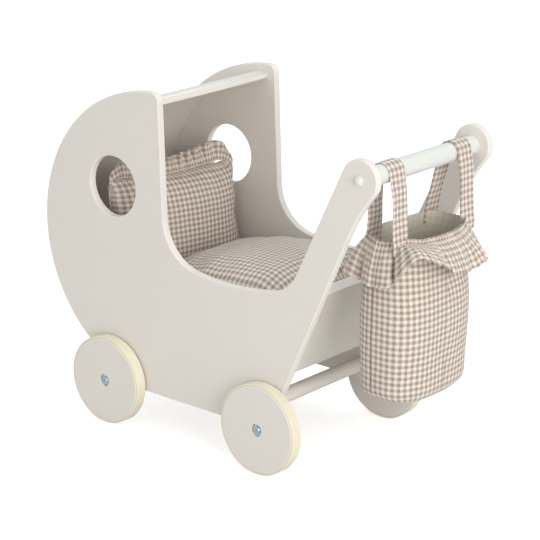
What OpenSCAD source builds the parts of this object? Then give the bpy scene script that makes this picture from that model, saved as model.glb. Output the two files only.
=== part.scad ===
// Wooden doll pram with a round hood, a handlebar, four wheels, bedding and a hanging bag.
// X runs from the hood end (-) to the handle end (+), Y runs across the pram and Z is up.
// The origin lies on the floor, midway between the four wheels.

/* [Side panels] */
// Thickness of each side panel
panel_t = 12; // [9:0.5:15]
// Distance between the inner faces of the two side panels
inner_w = 246; // [236:1:280]
// Radius of the round hood outline
hood_r = 223.5; // [219:0.5:228]
// Radius of the round window in the hood
window_r = 45.7; // [30:0.1:55]
// Height of the straight bottom edge above the floor
sill_z = 61; // [56:1:70]
// Radius of the rounded tip of each handle arm
tip_r = 29.5; // [24:0.5:34]
// Lowest height of the scooped top edge
scoop_z = 262.5; // [255:0.5:268]
// Radius of the foot around each axle
foot_r = 24; // [18:1:28]

/* [Hood and box] */
// Thickness of the bent hood shell
shell_t = 3.5; // [2.5:0.5:5]
// Inner radius of the bent hood shell
shell_r = 205.5; // [202:0.5:207]
// Height of the section of the hood rail
rail_h = 12; // [10:0.5:14]
// Depth of the section of the hood rail
rail_d = 20; // [18:1:24]
// Height of the underside of the base board
base_z = 132; // [131:1:136]
// Thickness of the base board
base_t = 12; // [9:0.5:12]
// Thickness of the sloping end panel
end_t = 18; // [12:1:20]
// Length of the sloping end panel along its slope
end_len = 144; // [136:1:148]

/* [Bars] */
// Diameter of the handlebar
bar_d = 28; // [22:0.5:30]
// Diameter of the lower cross dowel
dowel_d = 22.5; // [18:0.5:25]

/* [Wheels] */
// Overall radius of a wheel with its tyre
wheel_r = 67.5; // [62:0.5:70]
// Width of a wheel
wheel_w = 20; // [18:1:24]
// Thickness of the rubber tyre
tyre_t = 2.5; // [2.5:0.1:5]
// Distance between the axles along X
wheelbase = 300; // [290:2:310]
// Diameter of the counterbore for the axle screw
counterbore_d = 19; // [18.5:0.5:24]

/* [Bag] */
// Size of the bag along X
bag_d = 104; // [96:1:108]
// Size of the bag along Y
bag_w = 172; // [160:1:180]
// Height of the bag's bottom above the floor
bag_z = 125; // [118:1:140]
// Height of the bag's rim above the floor
rim_z = 369; // [350:1:380]
// Width of each carrying strap
strap_w = 26; // [20:1:28]
// Drop of the gathered ruffle below the rim
ruffle_h = 58; // [40:1:64]

/* [Hidden] */

// Shades of the painted board, rubber, metal, wood and cloth
cream_paint = [0.87, 0.86, 0.82];
cream_rubber = [0.93, 0.90, 0.80];
zinc = [0.66, 0.71, 0.76];
nylon = [0.90, 0.90, 0.88];
beech = [0.80, 0.66, 0.48];
gingham = [0.72, 0.66, 0.61];
lining_cloth = [0.82, 0.79, 0.72];
foam = [0.93, 0.91, 0.86];

// Facets on small and on large round shapes
fine = 64;
smooth = 180;

// Faces of the side panels, measured from the middle of the pram
inner_y = inner_w / 2;
outer_y = inner_y + panel_t;

// Side outline: centres, slopes and fillets, as points of the X-Z plane
hood_c = [-66, 295];
window_c = [-148.5, 366];
tip_c = [306.5, 458.5];
scoop_r = 406;
scoop_c = [74.4, scoop_z + scoop_r];
front_lean = 2.73;
front_foot_x = -32.9;
left_lean = 25.4;
right_lean = 23.74;
right_foot_x = 124.5;
throat_r = 73;
crook_r = 61;
flare_r = 288;
brow_r = 13;

// Fit of the glued and screwed joints
glue_gap = 0.05;
pin_r = 3;
pin_in_panel = 8;
pin_in_board = 16;
shank_r = 2.5;
head_r = 5;
head_h = 4.5;
wood_screw_len = 50;
socket_r = 1.8;
socket_depth = 3.2;

// Hood shell, hood rail and end panel in the X-Z plane
shell_c = [-68, 288];
shell_foot_z = base_z - 4;
rail_front = [-71, 495.5];
rail_tilt = 4;
end_foot = [139, 124];
dowel_c = [122, 85.3];

// Parts on each axle, stacked outwards from the side panel
axle_x = wheelbase / 2;
axle_r = 3;
insert_r = 4;
inner_washer_t = 1.5;
outer_washer_t = 1.2;
washer_r = 8.6;
end_play = 0.2;
recess = 5;
wheel_y = outer_y + inner_washer_t + end_play;
hub_len = wheel_w - recess;
sleeve_r = 5;
running_gap = 0.05;
bush_r = 7;
sleeve_end_y = wheel_y + hub_len + end_play;
washer_end_y = sleeve_end_y + outer_washer_t;
pan_head_r = 5.6;
pan_head_h = 3.2;
rim_r = wheel_r - tyre_t;
rim_bevel = 1;

// Bedding between the side panels
bedding_gap = 4;
mattress_t = 40;
mattress_z = base_z + base_t;
duvet_z = mattress_z + mattress_t + 0.2;

// Cloth thicknesses and clearances of the bag
cloth_t = 2;
lining_t = 1.5;
ply_gap = 0.2;
strap_y = 68;
strap_t = 2;
strap_gap = 0.4;
strap_reach = 30;
strap_tail = 18;

function across(n) = [-n[1], n[0]];
// X of a sloping edge at height z, from its X at floor level and its lean from upright
function edge_x(foot_x, lean, z) = foot_x + z * tan(lean);
// Point at distance s along the normal n and at distance r from c, on the side k of n
function meet(n, s, c, r, k) =
    let (u = across(n), a = n * c - s) n * s + u * (u * c + k * sqrt(r * r - a * a));
// Direction from the centre c of a foot to the point where a tangent from p touches it, on side k
function foot_side(p, c, k) =
    let (v = p - c, a = atan2(v[1], v[0]) + k * acos(foot_r / norm(v))) [cos(a), sin(a)];
// Points on the circle (c, r) from the direction u round to v, the way that k turns
function bend(c, r, u, v, k = 1) =
    let (a = atan2(u[1], u[0]), sweep = ((atan2(v[1], v[0]) - a) * k % 360 + 360) % 360,
        n = max(4, ceil(sweep / 2)))
    [for (i = [0:n]) c + r * [cos(a + k * sweep * i / n), sin(a + k * sweep * i / n)]];
function low_point(c, r, x) = c[1] - sqrt(r * r - (x - c[0]) * (x - c[0]));
function rail_point(x, z) = rail_front
    + [x * cos(rail_tilt) - z * sin(rail_tilt), x * sin(rail_tilt) + z * cos(rail_tilt)];
function end_point(x, z) = end_foot
    + [x * cos(right_lean) + z * sin(right_lean), z * cos(right_lean) - x * sin(right_lean)];
function end_inner_x(z) = edge_x(end_foot[0] - end_t / cos(right_lean), right_lean, z - end_foot[1]);

front_n = [cos(front_lean), sin(front_lean)];
front_s = front_foot_x * cos(front_lean);
left_n = [-cos(left_lean), sin(left_lean)];
left_s = left_n * tip_c + tip_r;
right_n = [cos(right_lean), -sin(right_lean)];
right_s = right_foot_x * cos(right_lean);
throat_c = meet(front_n, front_s + throat_r, scoop_c, scoop_r - throat_r, -1);
crook_c = meet(left_n, left_s + crook_r, scoop_c, scoop_r - crook_r, 1);
flare_c = meet(right_n, right_s + flare_r, tip_c, flare_r + tip_r, -1);
brow_c = meet(front_n, front_s - brow_r, hood_c, hood_r - brow_r, 1);
axles = [[-axle_x, wheel_r], [axle_x, wheel_r]];
rail_pins = [rail_point(-rail_d / 4, rail_h / 2), rail_point(-rail_d * 3 / 4, rail_h / 2)];
base_pins = [for (x = [-165, -20, 95]) [x, base_z + base_t / 2]];
end_pins = [for (z = [24, 72, 120]) end_point(-end_t / 2, z)];

// Stands an X-Z outline up as a board that fills the width from y0 to y1
module board(y0, y1) {
    translate([0, y1, 0]) rotate([90, 0, 0]) linear_extrude(y1 - y0) children();
}

// A rod along Y from y0 to y1 through the point p of the side view
module rod(p, r, y0, y1) {
    translate([p[0], y1, p[1]]) rotate([90, 0, 0]) cylinder(r = r, h = y1 - y0, $fn = fine);
}

// A turned shape about the axle at p; its profile gives radius and distance outwards from y0
module turned(p, y0, facets) {
    translate([p[0], y0, p[1]]) rotate([-90, 0, 0]) rotate_extrude($fn = facets) children();
}

// Everything given, on the left (+Y) and mirrored on the right (-Y)
module both_sides() {
    children();
    mirror([0, 1, 0]) children();
}

module disc(c, r) {
    translate(c) circle(r = r, $fn = smooth);
}

module rounded_rect(w, h, r) {
    translate([r, 0]) square([w - 2 * r, h]);
    translate([0, r]) square([w, h - 2 * r]);
    for (x = [r, w - r], y = [r, h - r]) translate([x, y]) circle(r = r, $fn = fine);
}

// Side outline, anticlockwise from the top of the hood front
module panel_outline() {
    heel_x = -195;
    spread = 50;
    toe_z = 105;
    heel = [heel_x, low_point(hood_c, hood_r, heel_x)];
    toe = [edge_x(right_foot_x, right_lean, toe_z), toe_z];
    sill_start = [spread - axle_x, sill_z];
    sill_end = [axle_x - spread, sill_z];
    difference() {
        polygon(concat(
            bend(brow_c, brow_r, front_n, brow_c - hood_c),
            bend(hood_c, hood_r, brow_c - hood_c, heel - hood_c),
            bend(axles[0], foot_r, foot_side(heel, axles[0], 1), foot_side(sill_start, axles[0], -1)),
            [sill_start, sill_end],
            bend(axles[1], foot_r, foot_side(sill_end, axles[1], 1), foot_side(toe, axles[1], -1)),
            [toe],
            bend(flare_c, flare_r, -right_n, tip_c - flare_c, -1),
            bend(tip_c, tip_r, flare_c - tip_c, left_n),
            bend(crook_c, crook_r, -left_n, crook_c - scoop_c, -1),
            bend(scoop_c, scoop_r, crook_c - scoop_c, throat_c - scoop_c, -1),
            bend(throat_c, throat_r, throat_c - scoop_c, -front_n, -1)
        ));
        disc(window_c, window_r);
    }
}

// A countersunk hole from the outer face of the left panel
module screw_hole(p) {
    rod(p, shank_r + glue_gap, inner_y - 1, outer_y + 1);
    turned(p, outer_y, fine) polygon([[0, -head_h], [shank_r + glue_gap, -head_h],
        [head_r + glue_gap, 0], [head_r + glue_gap, 1], [0, 1]]);
}

// A countersunk wood screw whose head is flush with the outer face of the left panel
module wood_screw(p) {
    turned(p, outer_y, fine) polygon([[0, -wood_screw_len], [shank_r / 2, -wood_screw_len],
        [shank_r, 4 - wood_screw_len], [shank_r, -head_h], [head_r, 0], [socket_r, 0],
        [socket_r, -socket_depth], [0, -socket_depth]]);
}

module side_panel() {
    color(cream_paint) difference() {
        board(inner_y, outer_y) panel_outline();
        for (p = concat(rail_pins, base_pins, end_pins))
            rod(p, pin_r + glue_gap, inner_y - 1, inner_y + pin_in_panel + glue_gap);
        for (p = axles) rod(p, insert_r + glue_gap, inner_y - 1, outer_y + 1);
        screw_hole(tip_c);
        screw_hole(dowel_c);
    }
}

// Blind wooden pins that join a cross piece to both side panels
module pins(points) {
    color(beech) both_sides() for (p = points) rod(p, pin_r, inner_y - pin_in_board, inner_y + pin_in_panel);
}

module pin_sockets(points) {
    both_sides() for (p = points)
        rod(p, pin_r + glue_gap, inner_y - pin_in_board - glue_gap, inner_y + 1);
}

module side_panel_left() {
    side_panel();
}

module side_panel_right() {
    mirror([0, 1, 0]) side_panel();
}

module hood_shell() {
    back_x = rail_point(-rail_d, rail_h)[0];
    color(cream_paint) board(-inner_y, inner_y) intersection() {
        difference() {
            disc(shell_c, shell_r + shell_t);
            disc(shell_c, shell_r);
        }
        translate([-300, shell_foot_z]) square([300 + back_x, 400]);
    }
}

module hood_rail() {
    edge_r = 3;
    color(cream_paint) difference() {
        board(-inner_y, inner_y) translate(rail_front) rotate(rail_tilt)
            translate([-rail_d, 0]) rounded_rect(rail_d, rail_h, edge_r);
        pin_sockets(rail_pins);
    }
}

module hood_rail_pins() {
    pins(rail_pins);
}

module base_board() {
    top = base_z + base_t;
    color(cream_paint) difference() {
        board(-inner_y, inner_y) intersection() {
            union() {
                disc(shell_c, shell_r - glue_gap);
                translate([shell_c[0], base_z]) square([300, base_t]);
            }
            polygon([[-240, base_z], [end_inner_x(base_z), base_z], [end_inner_x(top), top], [-240, top]]);
        }
        pin_sockets(base_pins);
    }
}

module base_board_pins() {
    pins(base_pins);
}

module end_panel() {
    edge_r = 1.5;
    color(cream_paint) difference() {
        board(-inner_y, inner_y) translate(end_foot) rotate(-right_lean)
            translate([-end_t, 0]) rounded_rect(end_t, end_len, edge_r);
        pin_sockets(end_pins);
    }
}

module end_panel_pins() {
    pins(end_pins);
}

// A round bar between the side panels, with a pilot hole for a screw in each end
module cross_bar(p, d) {
    color(cream_paint) difference() {
        rod(p, d / 2, -inner_y, inner_y);
        both_sides() rod(p, shank_r + glue_gap, outer_y - wood_screw_len - 1, inner_y + 1);
    }
}

module handlebar() {
    cross_bar(tip_c, bar_d);
}

module handlebar_screws() {
    color(zinc) both_sides() wood_screw(tip_c);
}

// Domed caps that plug into the sockets of the handlebar screws
module handlebar_caps() {
    base_r = 7.3;
    dome_h = 6;
    dome_r = (base_r * base_r + dome_h * dome_h) / (2 * dome_h);
    stem_gap = 0.1;
    color(cream_paint) both_sides() turned(tip_c, outer_y, fine) {
        intersection() {
            translate([0, dome_h - dome_r]) circle(r = dome_r, $fn = fine);
            square([base_r, dome_h]);
        }
        translate([0, stem_gap - socket_depth]) square([socket_r - stem_gap, socket_depth]);
    }
}

module cross_dowel() {
    cross_bar(dowel_c, dowel_d);
}

module cross_dowel_screws() {
    color(zinc) both_sides() wood_screw(dowel_c);
}

// A tube about every axle: radii r0 and r1, from y0 to y1 on both sides
module on_axles(r0, r1, y0, y1) {
    both_sides() for (p = axles) turned(p, y0, fine) translate([r0, 0]) square([r1 - r0, y1 - y0]);
}

module axle_inserts() {
    color(zinc) on_axles(axle_r + glue_gap, insert_r, inner_y, outer_y);
}

module axle_sleeves() {
    color(zinc) on_axles(axle_r + 0.1, sleeve_r, outer_y + inner_washer_t, sleeve_end_y);
}

module axle_washers() {
    color(zinc) {
        on_axles(axle_r + 0.1, washer_r, outer_y, outer_y + inner_washer_t);
        on_axles(axle_r + 0.1, washer_r, sleeve_end_y, washer_end_y);
    }
}

// Pan head machine screws with a cross recess
module axle_screws() {
    slot = [5.6, 1.3];
    slot_depth = 2;
    edge = 1;
    color(zinc) both_sides() for (p = axles) difference() {
        turned(p, washer_end_y, fine) polygon([[0, inner_y - washer_end_y], [axle_r, inner_y - washer_end_y],
            [axle_r, 0], [pan_head_r, 0], [pan_head_r, pan_head_h - 1.6 * edge],
            [pan_head_r - edge, pan_head_h - 0.4 * edge], [pan_head_r - 2.5 * edge, pan_head_h],
            [0, pan_head_h]]);
        for (a = [45, 135]) translate([p[0], washer_end_y + pan_head_h, p[1]]) rotate([0, a, 0])
            cube([slot[0], 2 * slot_depth, slot[1]], center = true);
    }
}

module mattress() {
    left = -200;
    length = 318;
    corner_r = 16;
    color(foam) translate([left, bedding_gap - inner_y, mattress_z])
        linear_extrude(mattress_t) rounded_rect(length, inner_w - 2 * bedding_gap, corner_r);
}

module duvet() {
    top = 268;
    shoulder = 252;
    color(gingham) board(bedding_gap - inner_y, inner_y - bedding_gap) polygon([
        [-106, duvet_z], [end_inner_x(duvet_z) - bedding_gap, duvet_z],
        [end_inner_x(shoulder) - bedding_gap, shoulder], [150, top], [-20, top], [-90, 244], [-112, 215]]);
}

// The pillow stands across the hood end, on the mattress
pillow_x = -188;
pillow_d = 72;
pillow_top = 360;
pillow_y = [-114, 115];

module pillow() {
    corner_r = 24;
    color(gingham) board(pillow_y[0], pillow_y[1]) translate([pillow_x, duvet_z])
        rounded_rect(pillow_d, pillow_top - duvet_z, corner_r);
}

module pillow_ruffle() {
    frill_x = pillow_x + 36;
    frill_t = 4;
    side = 6;
    top = 32;
    leg = 24;
    w = pillow_y[1] - pillow_y[0];
    color(gingham) translate([frill_x, 0, pillow_top - leg]) difference() {
        translate([0, pillow_y[0] - side, 0]) cube([frill_t, w + 2 * side, leg + top]);
        translate([-1, pillow_y[0] - ply_gap, -1]) cube([frill_t + 2, w + 2 * ply_gap, leg + 1 + ply_gap]);
    }
}

// Wheels: a painted disc, a rubber tyre round it and a nylon bush in its hub
module wheel_disc(p) {
    bore_r = counterbore_d / 2;
    color(cream_paint) turned(p, wheel_y, smooth) polygon([[bush_r, 0], [rim_r - rim_bevel, 0],
        [rim_r, rim_bevel], [rim_r, wheel_w - rim_bevel], [rim_r - rim_bevel, wheel_w],
        [bore_r, wheel_w], [bore_r, hub_len], [bush_r, hub_len]]);
}

module tyre(p) {
    color(cream_rubber) turned(p, wheel_y, smooth) translate([rim_r, rim_bevel])
        rounded_rect(tyre_t, wheel_w - 2 * rim_bevel, 1.2);
}

module wheel_bush(p) {
    color(nylon) turned(p, wheel_y, fine) translate([sleeve_r + running_gap, 0])
        square([bush_r - sleeve_r - running_gap, hub_len]);
}

module wheel_disc_hood_left() { wheel_disc(axles[0]); }
module wheel_disc_hood_right() { mirror([0, 1, 0]) wheel_disc(axles[0]); }
module wheel_disc_handle_left() { wheel_disc(axles[1]); }
module wheel_disc_handle_right() { mirror([0, 1, 0]) wheel_disc(axles[1]); }
module tyre_hood_left() { tyre(axles[0]); }
module tyre_hood_right() { mirror([0, 1, 0]) tyre(axles[0]); }
module tyre_handle_left() { tyre(axles[1]); }
module tyre_handle_right() { mirror([0, 1, 0]) tyre(axles[1]); }
module wheel_bush_hood_left() { wheel_bush(axles[0]); }
module wheel_bush_hood_right() { mirror([0, 1, 0]) wheel_bush(axles[0]); }
module wheel_bush_handle_left() { wheel_bush(axles[1]); }
module wheel_bush_handle_right() { mirror([0, 1, 0]) wheel_bush(axles[1]); }

// A slab with the bag's rounded plan, grown by g, between two heights below the handlebar
module bag_slab(g, z0, z1) {
    corner_r = 30;
    translate([tip_c[0] - bag_d / 2 - g, -bag_w / 2 - g, z0]) linear_extrude(z1 - z0)
        rounded_rect(bag_d + 2 * g, bag_w + 2 * g, corner_r + g);
}

module bag_shell() {
    color(gingham) difference() {
        bag_slab(0, bag_z, rim_z);
        bag_slab(-cloth_t, bag_z + cloth_t, rim_z + 1);
    }
}

module bag_lining() {
    out = cloth_t + ply_gap;
    color(lining_cloth) difference() {
        bag_slab(-out, bag_z + out, rim_z - 1);
        bag_slab(-out - lining_t, bag_z + out + lining_t, rim_z + 1);
    }
}

module bag_ruffle() {
    flare = 12;
    frill_t = 3;
    color(gingham) difference() {
        bag_slab(flare, rim_z - ruffle_h, rim_z - 1);
        bag_slab(flare - frill_t, rim_z - ruffle_h - 1, rim_z - 1 - frill_t);
        bag_slab(ply_gap, rim_z - ruffle_h - 1, rim_z);
    }
}

// A strap that loops over the handlebar and runs down inside the front and back of the rim
module bag_strap(y) {
    in_r = bar_d / 2 + strap_gap;
    out_r = in_r + strap_t;
    in_reach = strap_reach - strap_t;
    low = rim_z - strap_tail;
    color(gingham) board(y - strap_w / 2, y + strap_w / 2) translate([tip_c[0], 0]) polygon(concat(
        [[strap_reach, low], [strap_reach, rim_z]],
        bend([0, tip_c[1]], out_r, [1, 0], [-1, 0]),
        [[-strap_reach, rim_z], [-strap_reach, low], [-in_reach, low], [-in_reach, rim_z]],
        bend([0, tip_c[1]], in_r, [-1, 0], [1, 0], -1),
        [[in_reach, rim_z], [in_reach, low]]
    ));
}

module bag_strap_right() { bag_strap(-strap_y); }
module bag_strap_left() { bag_strap(strap_y); }

side_panel_right();
side_panel_left();
hood_shell();
hood_rail();
hood_rail_pins();
base_board();
base_board_pins();
end_panel();
end_panel_pins();
handlebar();
handlebar_screws();
handlebar_caps();
cross_dowel();
cross_dowel_screws();
axle_inserts();
axle_screws();
axle_sleeves();
axle_washers();
mattress();
duvet();
pillow();
pillow_ruffle();
wheel_disc_hood_right();
tyre_hood_right();
wheel_bush_hood_right();
wheel_disc_hood_left();
tyre_hood_left();
wheel_bush_hood_left();
wheel_disc_handle_right();
tyre_handle_right();
wheel_bush_handle_right();
wheel_disc_handle_left();
tyre_handle_left();
wheel_bush_handle_left();
bag_shell();
bag_lining();
bag_ruffle();
bag_strap_right();
bag_strap_left();
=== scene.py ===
# Wooden doll pram: painted boards, gingham bedding and a cloth bag on the handlebar.
from math import pi, sin, cos, radians, hypot, exp
import bpy, bmesh
import numpy as np
from mathutils import Vector, Matrix, noise


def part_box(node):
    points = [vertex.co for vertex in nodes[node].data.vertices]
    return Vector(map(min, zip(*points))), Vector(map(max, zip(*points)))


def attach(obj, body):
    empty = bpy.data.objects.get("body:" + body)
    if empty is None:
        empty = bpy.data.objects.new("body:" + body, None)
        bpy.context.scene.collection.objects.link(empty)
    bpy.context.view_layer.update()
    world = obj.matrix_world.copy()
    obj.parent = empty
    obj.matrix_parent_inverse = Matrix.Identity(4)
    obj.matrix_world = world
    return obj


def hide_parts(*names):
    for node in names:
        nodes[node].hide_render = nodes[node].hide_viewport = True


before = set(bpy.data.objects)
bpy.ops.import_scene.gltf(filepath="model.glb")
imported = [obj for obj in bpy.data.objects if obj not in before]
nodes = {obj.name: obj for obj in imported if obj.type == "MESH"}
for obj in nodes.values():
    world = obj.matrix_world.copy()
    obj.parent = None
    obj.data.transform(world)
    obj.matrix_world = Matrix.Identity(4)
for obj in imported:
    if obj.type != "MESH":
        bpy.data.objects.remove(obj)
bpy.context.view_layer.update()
scene = bpy.context.scene


# ---- camera and studio

viewpoint = {
    "target": (0, 0, 0.225),
    "azimuth": 40.0,    # degrees from square on to the right side
    "height": 17.9,     # degrees above the horizon
    "roll": 0.6,
    "distance": 3.160,
    "slide": (0.0317, 0.0112),    # shift of the frame to the right and up
    "lens": 141.27,
}


def setCamera(v):
    a, e, r = radians(v["azimuth"]), radians(v["height"]), radians(v["roll"])
    back = Vector((sin(a) * cos(e), -cos(a) * cos(e), sin(e)))
    right = Vector((cos(a), sin(a), 0))
    up = back.cross(right)
    place = Vector(v["target"]) + back * v["distance"] + right * v["slide"][0] + up * v["slide"][1]
    x = right * cos(r) + up * sin(r)
    y = up * cos(r) - right * sin(r)
    camera = bpy.data.objects.new("camera", bpy.data.cameras.new("camera"))
    camera.matrix_world = Matrix(((x.x, y.x, back.x, place.x), (x.y, y.y, back.y, place.y),
                                  (x.z, y.z, back.z, place.z), (0, 0, 0, 1)))
    camera.data.lens = v["lens"]
    camera.data.sensor_width = 36
    camera.data.clip_end = 50
    scene.collection.objects.link(camera)
    scene.camera = camera


studio = {
    "skyTop": (0.95, 1.04, 1.03),
    "skySide": (1.00, 0.925, 0.96),
    "skyStrength": 0.72,
    "keyPower": 50,
    "keySize": 1.7,
    "topPower": 17,
    "floorTone": (0.80, 0.79, 0.78),
    "floorGlow": 0.60,    # seen by the eye only, so that the floor stays pale under the pram
}


def setStudio(v):
    scene.view_settings.view_transform = "Standard"
    world = bpy.data.worlds.new("studio")
    scene.world = world
    world.use_nodes = True
    tree = world.node_tree
    background = tree.nodes["Background"]
    coords = tree.nodes.new("ShaderNodeTexCoord")
    split = tree.nodes.new("ShaderNodeSeparateXYZ")
    mix = tree.nodes.new("ShaderNodeMix")
    mix.data_type = "RGBA"
    spread = tree.nodes.new("ShaderNodeMapRange")
    spread.inputs["From Min"].default_value = 0.0
    spread.inputs["From Max"].default_value = 0.8
    tree.links.new(coords.outputs["Generated"], split.inputs[0])
    tree.links.new(split.outputs["Z"], spread.inputs["Value"])
    tree.links.new(spread.outputs[0], mix.inputs["Factor"])
    mix.inputs["A"].default_value = (*v["skySide"], 1)
    mix.inputs["B"].default_value = (*v["skyTop"], 1)
    tree.links.new(mix.outputs["Result"], background.inputs["Color"])
    background.inputs["Strength"].default_value = v["skyStrength"]

    def areaLight(name, place, aim, power, size, colour):
        lamp = bpy.data.lights.new(name, "AREA")
        lamp.energy, lamp.size, lamp.color = power, size, colour
        holder = bpy.data.objects.new(name, lamp)
        holder.location = place
        holder.rotation_euler = (Vector(aim) - Vector(place)).to_track_quat("-Z", "Y").to_euler()
        scene.collection.objects.link(holder)

    areaLight("keySoftbox", (3.0, -1.25, 1.1), (0, 0, 0.25), v["keyPower"], v["keySize"], (1.0, 0.985, 0.93))
    areaLight("topSoftbox", (-0.4, 0.3, 2.8), (0, 0, 0.2), v["topPower"], 2.2, (0.95, 1.0, 1.0))

    bpy.ops.mesh.primitive_circle_add(vertices=96, radius=14, fill_type="NGON", location=(0, 0, 0))
    floor = bpy.context.object
    floor.name = "studioFloor"
    mat = bpy.data.materials.new("paleFloor")
    mat.use_nodes = True
    shader = mat.node_tree.nodes["Principled BSDF"]
    shader.inputs["Base Color"].default_value = (*v["floorTone"], 1)
    shader.inputs["Roughness"].default_value = 0.9
    shader.inputs["Specular IOR Level"].default_value = 0.1
    shader.inputs["Emission Color"].default_value = (1, 1, 1, 1)
    seen = mat.node_tree.nodes.new("ShaderNodeLightPath")
    glow = mat.node_tree.nodes.new("ShaderNodeMath")
    glow.operation = "MULTIPLY"
    glow.inputs[1].default_value = v["floorGlow"]
    mat.node_tree.links.new(seen.outputs["Is Camera Ray"], glow.inputs[0])
    mat.node_tree.links.new(glow.outputs[0], shader.inputs["Emission Strength"])
    floor.data.materials.append(mat)


setCamera(viewpoint)
setStudio(studio)
print("camera and studio set")


# ---- shared shader groups

def newGroup(name, inputs, outputs):
    group = bpy.data.node_groups.new(name, "ShaderNodeTree")
    for label, kind, value in inputs:
        socket = group.interface.new_socket(label, in_out="INPUT", socket_type=kind)
        if value is not None:
            socket.default_value = value
    for label, kind in outputs:
        group.interface.new_socket(label, in_out="OUTPUT", socket_type=kind)
    start = group.nodes.new("NodeGroupInput")
    end = group.nodes.new("NodeGroupOutput")
    return group, start, end


class Wire:
    # short ways to place nodes in one tree
    def __init__(self, tree):
        self.tree = tree

    def put(self, kind, **values):
        node = self.tree.nodes.new("ShaderNode" + kind)
        for key, value in values.items():
            setattr(node, key, value)
        return node

    def join(self, source, target):
        self.tree.links.new(source, target)

    def fill(self, socket, value):
        if isinstance(value, bpy.types.NodeSocket):
            self.join(value, socket)
        else:
            socket.default_value = value

    def sum(self, kind, a, b=0.0, c=None):
        node = self.put("Math", operation=kind)
        self.fill(node.inputs[0], a)
        self.fill(node.inputs[1], b)
        if c is not None:
            self.fill(node.inputs[2], c)
        return node.outputs[0]

    def noise(self, place, scale, detail=2.0, rough=0.5):
        node = self.put("TexNoise")
        self.join(place, node.inputs["Vector"])
        self.fill(node.inputs["Scale"], scale)
        node.inputs["Detail"].default_value = detail
        node.inputs["Roughness"].default_value = rough
        return node.outputs["Fac"]

    def span(self, value, low, high, toLow=0.0, toHigh=1.0, smooth=False):
        node = self.put("MapRange")
        if smooth:
            node.interpolation_type = "SMOOTHSTEP"
        self.join(value, node.inputs["Value"])
        for label, v in (("From Min", low), ("From Max", high), ("To Min", toLow), ("To Max", toHigh)):
            self.fill(node.inputs[label], v)
        return node.outputs[0]

    def blend(self, factor, a, b, kind="MIX"):
        node = self.put("Mix", data_type="RGBA", blend_type=kind)
        self.fill(node.inputs["Factor"], factor)
        self.fill(node.inputs["A"], a)
        self.fill(node.inputs["B"], b)
        return node.outputs["Result"]


def makePaintGroup():
    # sprayed paint: slow drift of tone, faint pores and roller texture, and lighter eased edges, a painted
    # highlight where the edges catch the light with a little wear
    group, start, end = newGroup("sprayedPaint", [
        ("Base", "NodeSocketColor", (0.8, 0.8, 0.8, 1)), ("Shade", "NodeSocketColor", (0.7, 0.7, 0.7, 1)),
        ("Edge Highlight And Wear", "NodeSocketColor", (0.9, 0.9, 0.9, 1)), ("Pore Scale", "NodeSocketFloat", 900.0),
        ("Gloss", "NodeSocketFloat", 0.42)],
        [("Color", "NodeSocketColor"), ("Roughness", "NodeSocketFloat"), ("Height", "NodeSocketFloat")])
    w = Wire(group)
    place = w.put("TexCoord").outputs["Object"]
    drift = w.noise(place, 7.0, 4.0, 0.6)
    flecks = w.noise(place, 160.0, 3.0, 0.6)
    pores = w.noise(place, start.outputs["Pore Scale"], 2.0, 0.5)
    tone = w.span(drift, 0.3, 0.7)
    colour = w.blend(w.sum("MULTIPLY", tone, 0.5), start.outputs["Base"], start.outputs["Shade"])
    colour = w.blend(w.span(flecks, 0.62, 0.8, 0.0, 0.10), colour, start.outputs["Shade"])
    # the narrow faces of the eased edges are mixed towards a lighter tone: a painted highlight where the
    # edges catch the light, with a little paint wear
    highlightAndWearMask = w.put("Attribute", attribute_name="edgeHighlightAndWear").outputs["Fac"]
    edge = w.sum("MULTIPLY", highlightAndWearMask, w.span(flecks, 0.35, 0.65, 0.15, 0.5))
    colour = w.blend(edge, colour, start.outputs["Edge Highlight And Wear"])
    w.join(colour, end.inputs["Color"])
    rough = w.sum("ADD", start.outputs["Gloss"], w.span(flecks, 0.3, 0.7, -0.04, 0.07))
    w.join(rough, end.inputs["Roughness"])
    w.join(w.sum("ADD", w.sum("MULTIPLY", pores, 0.6), w.sum("MULTIPLY", flecks, 0.8)), end.inputs["Height"])
    return group


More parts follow.
